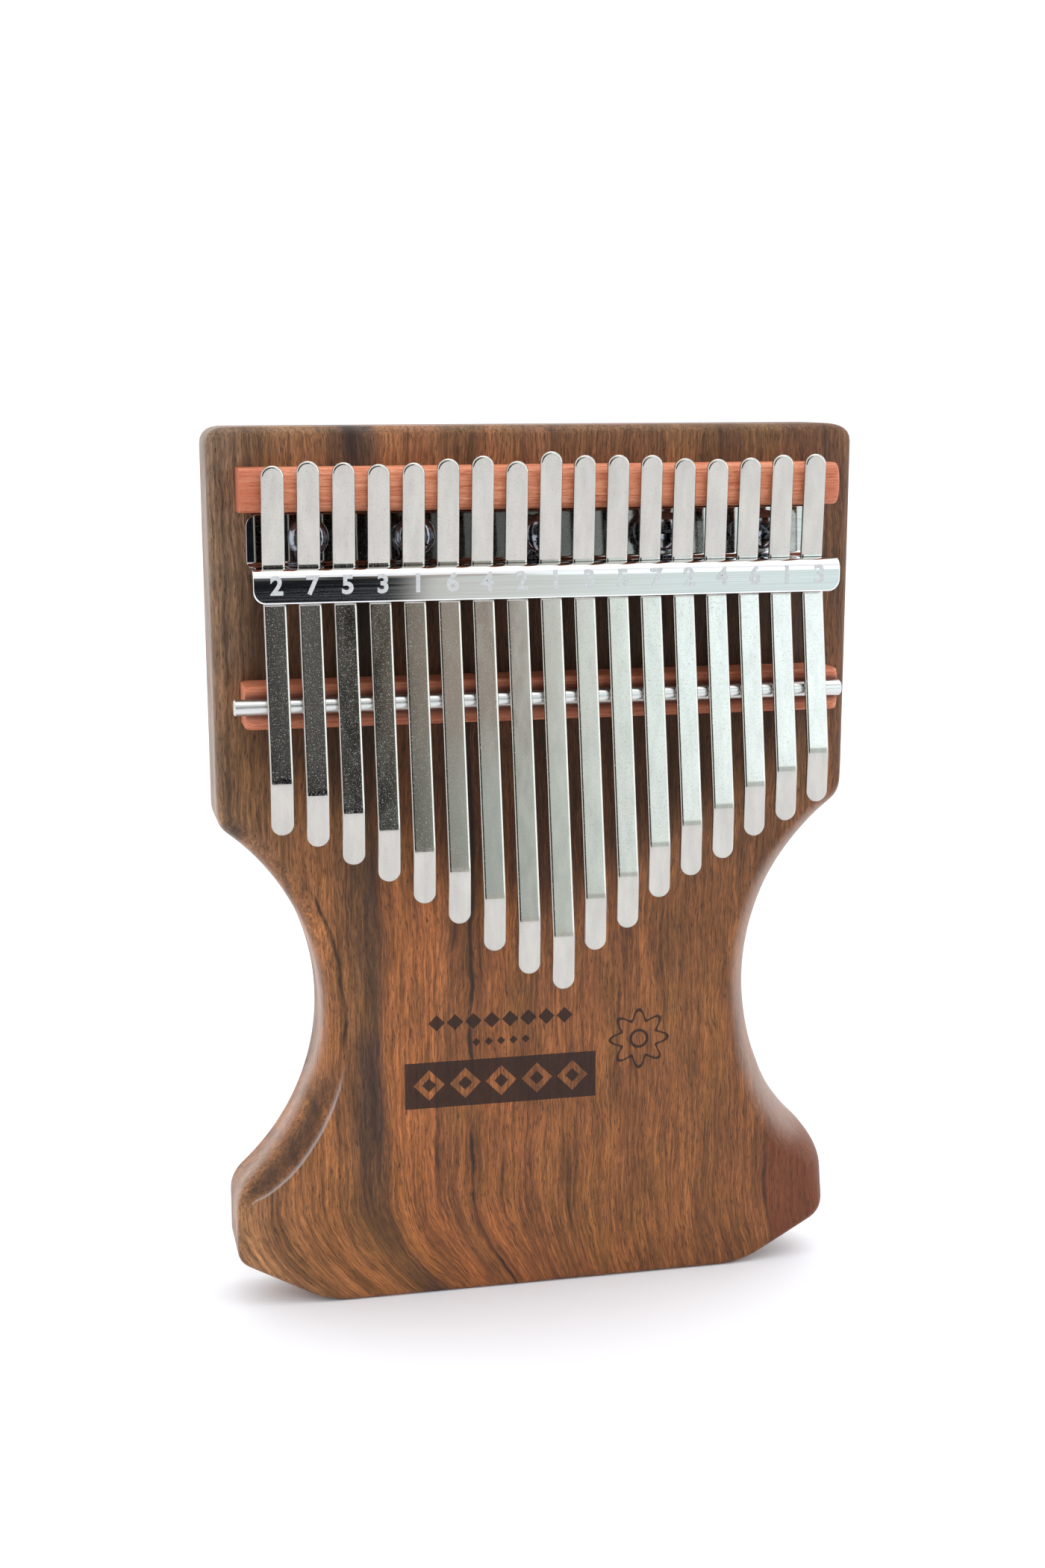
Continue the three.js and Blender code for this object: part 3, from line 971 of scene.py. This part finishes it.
def waist_line(graph, x, z, kinks, patchy):
    """The dark line of grain that the saw laid bare along the left waist."""
    sideways = graph.plus(x, OUTLINE["waist_centre_x"])
    upward = graph.minus(z, WAIST_Z["left"])
    wander = graph.times(graph.minus(kinks, 0.5), 4.0)
    radius = graph.plus(graph.distance(sideways, upward), wander)
    away = graph.gap(radius, OUTLINE["waist_radius"] + WAIST_LINE_INSET)
    line = graph.smooth(away, 0.1, 0.75, 0.9, 0.0)
    shown = graph.times(graph.smooth(z, 46.0, 60.0), graph.fall(z, 86.0, 93.0))
    left_side = graph.fall(x, -30.0, -26.0)
    return graph.times(line, patchy, shown, left_side)


def lozenges(graph, along, up, half_length, count, size):
    """1 inside a row of lozenges and 0 outside, for places measured from the middle of the row."""
    pitch = 2 * half_length / count
    cell = graph.math("PINGPONG", graph.plus(along, half_length), pitch / 2)
    reach = graph.plus(graph.minus(pitch / 2, cell), up)
    inside = graph.fall(graph.math("ABSOLUTE", along), half_length, half_length + 0.1)
    return graph.times(graph.fall(reach, size - 0.1, size + 0.1), inside), reach


# The burnt ornament. Each small row is (z, half its length, how many lozenges, half a lozenge's size).
BAND = {"x": -8.4, "z": 46.0, "half_length": 20.4, "half_height": 4.9, "rings": 5, "ring": 3.3, "margin": 1.2}
SMALL_ROWS = [(54.7, 6.6, 5, 0.9), (59.3, 15.6, 8, 1.75)]
ROSETTE = {"x": 21.5, "z": 53.0, "radius": 5.2, "wave": 1.1, "petals": 8.0, "heart": 1.8}


def burnt_ornament(graph, x, y, z):
    """A plain burnt ornament on the playing face: a band of lozenges, two rows above it and a rosette."""
    half_length, half_height = BAND["half_length"], BAND["half_height"]
    along = graph.minus(x, BAND["x"])
    up = graph.gap(z, BAND["z"])
    ends = graph.fall(graph.math("ABSOLUTE", along), half_length, half_length + 0.12)
    band = graph.times(graph.fall(up, half_height, half_height + 0.12), ends)
    row_length = half_length - BAND["margin"]
    left_plain, reach = lozenges(graph, along, up, row_length, BAND["rings"], BAND["ring"])
    heart = graph.fall(reach, 1.4, 1.6)
    ring = graph.times(left_plain, graph.minus(1.0, heart))
    burnt = graph.times(band, graph.minus(1.0, ring))
    for row_z, row_half, count, size in SMALL_ROWS:
        above = graph.gap(z, row_z)
        row, _ = lozenges(graph, along, above, row_half, count, size)
        burnt = graph.math("MAXIMUM", burnt, row)
    burnt = graph.math("MAXIMUM", burnt, rosette(graph, x, z))
    on_face = graph.fall(y, FACE_Y + 0.05, FACE_Y + 0.15)
    return graph.times(burnt, on_face)


def rosette(graph, x, z):
    """1 on the outline of an eight-petalled flower and on the ring round its heart."""
    across = graph.minus(x, ROSETTE["x"])
    up = graph.minus(z, ROSETTE["z"])
    radius = graph.distance(across, up)
    turn = graph.times(graph.math("ARCTAN2", across, up), ROSETTE["petals"])
    wave = graph.times(graph.math("COSINE", turn), ROSETTE["wave"])
    petal = graph.plus(wave, ROSETTE["radius"])
    from_petal = graph.gap(radius, petal)
    from_heart = graph.gap(radius, ROSETTE["heart"])
    outline = graph.fall(from_petal, 0.25, 0.45)
    heart = graph.fall(from_heart, 0.2, 0.4)
    return graph.math("MAXIMUM", outline, heart)


def red_hardwood():
    material, graph, shader = new_material("hardwood_red", specular_ior_level=0.4)
    place = in_millimetres(graph)
    fibre = graph.noise(place, (0.14, 3.0, 3.0), detail=5.0, roughness=0.65)
    broad = graph.noise(place, (0.02, 0.4, 0.4), detail=2.0)
    colour = graph.ramp(
        fibre,
        [(0.30, rgb(162, 76, 46)), (0.46, rgb(214, 128, 91)), (0.72, rgb(242, 174, 136))],
    )
    colour = graph.mix(graph.smooth(broad, 0.35, 0.7, 0.0, 0.4), colour, rgb(201, 114, 76))
    # The bridge is a redder bar than the nut, with painted shade along its groove.
    x, y, z = graph.split(place)
    lower_bar = graph.fall(z, 145.0, 155.0)
    colour = graph.mix(graph.times(lower_bar, 0.25), colour, rgb(140, 56, 38))
    # Painted shade darkens the nut's ends, which no tine shades, to as dark as the rest of it.
    ends = graph.smooth(graph.math("ABSOLUTE", x), 53.0, 58.0, 0.0, 0.5)
    ends = graph.times(ends, graph.minus(1.0, lower_bar))
    colour = graph.mix(ends, colour, rgb(150, 60, 34))
    # Painted shade round the rod, darkest next to it.
    centre, radius, _ = rod_measures()
    behind = graph.minus(y, centre.y)
    above = graph.minus(z, centre.z)
    from_rod = graph.distance(behind, above)
    colour = graph.mix(graph.smooth(from_rod, radius + 0.2, radius + 1.9, 0.8, 0.0), colour, rgb(70, 20, 12))
    pores = graph.noise(place, (0.9, 7.0, 7.0), detail=2.0)
    pore = graph.smooth(pores, 0.6, 0.7)
    colour = graph.mix(graph.times(pore, 0.6), colour, rgb(118, 46, 30))
    graph.paint(shader, colour, graph.smooth(fibre, 0.3, 0.7, 0.62, 0.48))
    relief = graph.minus(graph.times(fibre, 0.5), pore)
    graph.roughen(shader, relief, 0.03, 0.6)
    return material


# ---- metal


def spring_steel():
    material, graph, shader = new_material("spring_steel_ground", metallic=1.0)
    place = in_millimetres(graph)
    cloudy = graph.noise(place, (0.5, 0.5, 0.12), detail=3.0)
    colour = graph.ramp(cloudy, [(0.3, rgb(182, 178, 172)), (0.7, rgb(196, 192, 185))])
    specks = graph.noise(place, (6.0, 6.0, 6.0), detail=2.0)
    speck = graph.smooth(specks, 0.62, 0.68)
    ground = graph.smooth(cloudy, 0.3, 0.7, 0.045, 0.09)
    graph.paint(shader, colour, graph.plus(ground, graph.times(speck, 0.45)))
    scratches = graph.noise(place, (0.3, 0.3, 9.0), detail=2.0)
    relief = graph.plus(graph.times(scratches, 0.5), speck)
    graph.roughen(shader, relief, 0.004, 0.5)
    return material


def polished_steel():
    material, graph, shader = new_material("bracket_polished", metallic=1.0)
    place = in_millimetres(graph)
    drawn = graph.noise(place, (0.03, 5.0, 5.0), detail=3.0)
    colour = graph.ramp(drawn, [(0.3, rgb(218, 219, 220)), (0.7, rgb(236, 237, 238))])
    # Painted shade: the base plate, deep between the tines, is darker than the strip, most on its left and
    # middle part.
    x, y, _ = graph.split(place)
    deep = graph.smooth(y, FACE_Y - 3.0, FACE_Y - 2.0)
    painted_plate_shade = graph.times(deep, graph.smooth(x, 8.0, 26.0, 0.42, 0.05))
    colour = graph.mix(painted_plate_shade, colour, rgb(72, 70, 68))
    graph.paint(shader, colour, graph.smooth(drawn, 0.3, 0.7, 0.03, 0.07))
    graph.roughen(shader, drawn, 0.0016, 0.5)
    return material


def patterned(name, scales, tints, roughness, relief=None, **constants):
    """A material whose colour, roughness and relief (depth, strength) all follow one pattern."""
    material, graph, shader = new_material(name, **constants)
    pattern = graph.noise(in_millimetres(graph), scales, detail=3.0)
    colour = graph.ramp(pattern, [(0.3, tints[0]), (0.7, tints[1])])
    graph.paint(shader, colour, graph.smooth(pattern, 0.3, 0.7, *roughness))
    if relief:
        graph.roughen(shader, pattern, *relief)
    return material


def bright_rod():
    tints = rgb(190, 190, 188), rgb(218, 218, 216)
    return patterned("rod_drawn", (0.06, 4.0, 4.0), tints, (0.2, 0.32), (0.005, 0.5), metallic=1.0)


def screw_steel():
    tints = rgb(128, 133, 146), rgb(168, 172, 182)
    return patterned("screw_plated", (1.6, 1.6, 1.6), tints, (0.08, 0.2), (0.01, 0.4), metallic=1.0)


def matte_print():
    """Frosted metal, as an etched or printed mark leaves it."""
    tints = rgb(176, 178, 178), rgb(204, 206, 206)
    return patterned("print_grey", (3.0, 3.0, 3.0), tints, (0.55, 0.75), specular_ior_level=0.3)


# ---- stage

CAMERA = {"place": (-99.0, -431.35, 189.8), "lens": 49.4, "yaw": 12.705, "down": 10.56, "roll": -0.136}


def make_camera():
    """The camera stands to the left of the instrument, a little above its top, and looks down at it."""
    data = bpy.data.cameras.new("camera")
    data.sensor_width = 36.0
    data.lens = CAMERA["lens"]
    data.clip_start, data.clip_end = 0.01, 20.0
    camera = placed("camera", data)
    yaw, down, roll = (math.radians(CAMERA[turn]) for turn in ("yaw", "down", "roll"))
    forward = Vector((math.sin(yaw) * math.cos(down), math.cos(yaw) * math.cos(down), -math.sin(down)))
    right = Vector((math.cos(yaw), -math.sin(yaw), 0.0))
    up = right.cross(forward)
    turned_right = right * math.cos(roll) + up * math.sin(roll)
    turned_up = up * math.cos(roll) - right * math.sin(roll)
    place = Vector(CAMERA["place"]) * MM
    axes = Matrix((turned_right, turned_up, -forward)).transposed().to_4x4()
    camera.matrix_world = Matrix.Translation(place) @ axes
    bpy.context.scene.camera = camera


def make_floor():
    """A white table. It ends some way in front of the instrument, behind the camera."""
    material, _, _ = new_material("floor_white", base_color=(0.93, 0.945, 0.98, 1.0), roughness=0.7)
    left, right, front, back = -6000.0, 6000.0, -1300.0, 12000.0
    corners = [(left, front, 0), (right, front, 0), (right, back, 0), (left, back, 0)]
    floor = mesh_object("floor", corners, [(0, 1, 2, 3)])
    floor.data.materials.append(material)


def make_room():
    """A white room with a dim side ahead of the playing face, and a bright window on its right.

    Directions are given by bearing, in degrees from straight ahead towards the player's right.
    Each list of colours is for one height: at eye level, just above it, and higher.
    """
    widest = 60.0
    world = bpy.data.worlds.new("studio")
    world.use_nodes = True
    bpy.context.scene.world = world
    graph = Graph(world.node_tree)
    direction = graph.node("ShaderNodeTexCoord").outputs["Generated"]
    x, y, z = graph.split(direction)
    bearing = graph.math("ARCTAN2", x, graph.times(y, -1.0))
    past_left = graph.plus(graph.math("DEGREES", bearing), widest)
    share = graph.math("DIVIDE", past_left, 2 * widest, clamp=True)
    left_side = [(-45, (1.25, 1.25, 1.25)), (-36, (0.02, 0.02, 0.02))]
    right_side = [(50, (2.2, 2.2, 2.2))]
    eye_level = [
        (9.4, (0.01, 0.012, 0.014)),
        (10.3, (0.70, 0.70, 0.66)),
        (13.5, (0.76, 0.79, 0.76)),
        (16.2, (0.82, 0.92, 0.89)),
        (22, (0.86, 0.98, 0.98)),
    ]
    just_above = [
        (7.6, (0.08, 0.08, 0.08)),
        (9.3, (0.02, 0.02, 0.02)),
        (9.9, (0.34, 0.36, 0.32)),
        (10.8, (0.56, 0.58, 0.54)),
        (11.7, (0.70, 0.84, 0.84)),
        (12.6, (0.68, 0.74, 0.70)),
        (13.5, (0.90, 1.02, 0.98)),
        (16.2, (1.42, 1.62, 1.66)),
        (20.5, (1.75, 2.02, 2.12)),
        (38, (1.8, 2.1, 2.2)),
    ]
    above = [
        (6.5, (0.10, 0.10, 0.10)),
        (7.1, (0.27, 0.27, 0.26)),
        (8.0, (0.01, 0.01, 0.01)),
        (9.2, (0.08, 0.07, 0.06)),
        (9.9, (0.37, 0.33, 0.28)),
        (10.8, (0.58, 0.51, 0.46)),
        (12.6, (0.52, 0.46, 0.42)),
        (13.5, (1.0, 1.07, 1.05)),
        (16.2, (1.44, 1.66, 1.70)),
        (17.1, (1.58, 1.88, 1.96)),
        (20.5, (1.78, 2.06, 2.2)),
        (38, (1.8, 2.1, 2.2)),
    ]
    low, middle, high = (
        graph.ramp(
            share,
            [
                ((angle + widest) / (2 * widest), colour)
                for angle, colour in [*left_side, *stops, *right_side]
            ],
        )
        for stops in (eye_level, just_above, above)
    )
    ahead = graph.mix(graph.smooth(z, 0.02, 0.07), low, middle)
    ahead = graph.mix(graph.smooth(z, 0.13, 0.18), ahead, high)
    raised = graph.fall(z, 0.42, 0.52)
    front = graph.fall(y, -0.4, -0.2)
    white = graph.mix(front, (1.3, 1.3, 1.3, 1.0), (1.14, 1.14, 1.16, 1.0))
    room = graph.mix(graph.times(raised, front), white, ahead)
    background = graph.node("ShaderNodeBackground", {"Color": room, "Strength": 1.0})
    output = graph.node("ShaderNodeOutputWorld")
    graph.plug(output.inputs["Surface"], background.outputs[0])


def make_light(name, place, target, size, power):
    data = bpy.data.lights.new(name, "AREA")
    data.shape = "DISK"
    data.size = size
    data.energy = power
    light = placed(name, data)
    toward = Vector(target) - Vector(place)
    light.matrix_world = Matrix.Translation(place) @ toward.to_track_quat("-Z", "Y").to_matrix().to_4x4()
    light.visible_camera = False


def make_stage():
    make_camera()
    make_floor()
    make_room()
    make_light("overhead", (0.3, -0.2, 1.5), (0.0, -0.05, 0.0), 1.4, 6.0)
    view = bpy.context.scene.view_settings
    view.view_transform = "Standard"
    view.look = "None"


# ---- assembly


def fit(piece, material, slot, body, *nodes):
    """Gives a new piece its material and its body, and hides the CAD nodes that it stands for."""
    piece.data.materials.clear()
    piece.data.materials.append(material)
    if nodes:
        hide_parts(*nodes)
    if body:
        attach(piece, body)
    return piece


def make_instrument():
    wood, red = walnut(), red_hardwood()
    steel, polished, rod, plated = spring_steel(), polished_steel(), bright_rod(), screw_steel()
    fit(make_board(), wood, "walnut", "root", "board")
    nut = crowned_bar("wood_nut", "nut", 0.74, left_end=(0.25, 0.15), right_end=(1.5, 1.4))
    fit(nut, red, "red_hardwood", "root", "nut")
    fit(make_bridge(), red, "red_hardwood", "root", "bridge")
    fit(make_rod(), rod, "bright_rod", "root", "bridge_rod")
    path = bracket_path()
    fit(make_bracket(path), polished, "polished_steel", "root", "bracket")
    fit(make_note_numbers(), matte_print(), "polished_steel", "root")
    for number in range(1, 6):
        fit(make_screw(number), plated, "screw_steel", "root", f"bracket_screw_{number}")
    for tine in TINES:
        strip = fit(make_tine(tine), steel, "spring_steel", None, f"{tine}_tail", f"{tine}_tongue")
        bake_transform(strip)


make_stage()
make_instrument()
